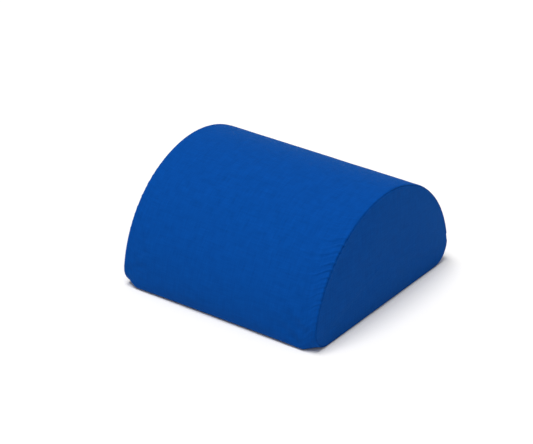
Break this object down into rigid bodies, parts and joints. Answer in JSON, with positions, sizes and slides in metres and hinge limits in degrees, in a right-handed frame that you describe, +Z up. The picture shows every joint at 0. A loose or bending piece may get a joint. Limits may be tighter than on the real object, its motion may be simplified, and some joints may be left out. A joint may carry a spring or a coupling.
{
  "type": "half-round lumbar cushion",
  "caption": "Half-round foam bolster in a zip-off woven cloth cover: flat base, domed face, two D-shaped ends and a rear zip with a sliding slider and a hinged pull tab.",
  "frame": {"origin": "centre of the flat base, on the surface it rests on", "axes": "+Z up from the flat base to the crest; X along the roll from one D-shaped end to the other; +Y to the rear, the side with the zip"},
  "size_m": [0.294, 0.3009, 0.157],
  "materials": {
    "cover_cloth": "matte",
    "sewing_thread": "satin",
    "zipper_tape": "matte",
    "zipper_coil": "satin",
    "zipper_metal": "satin",
    "foam": "matte",
    "label_satin": "satin"
  },
  "bodies": {
    "cushion": {"foam_core": "foam", "cover_wrap_panel": "cover_cloth", "cover_end_panel_left": "cover_cloth", "cover_end_panel_right": "cover_cloth", "seam_thread_left": "sewing_thread", "seam_thread_right": "sewing_thread", "topstitch_thread_upper": "sewing_thread", "topstitch_thread_lower": "sewing_thread", "zipper_tape_upper": "zipper_tape", "zipper_tape_lower": "zipper_tape", "zipper_coil_upper": "zipper_coil", "zipper_coil_lower": "zipper_coil", "zipper_top_stop_upper": "zipper_metal", "zipper_top_stop_lower": "zipper_metal", "zipper_bottom_stop": "zipper_metal", "care_label": "label_satin"},
    "slider": {"zipper_slider": "zipper_metal"},
    "pull_tab": {"zipper_pull_tab": "zipper_metal"}
  },
  "joints": [
    {"name": "slider_slide", "type": "slide", "parent": "cushion", "child": "slider", "axis": [1, 0, 0], "range_m": [0, 0.2508]},
    {"name": "pull_tab_flip", "type": "hinge", "parent": "slider", "child": "pull_tab", "pos_m": [-0.1254, 0.14908, 0.03428], "axis": [0, -0.18, 0.9837], "range_deg": [0, 180]}
  ]
}
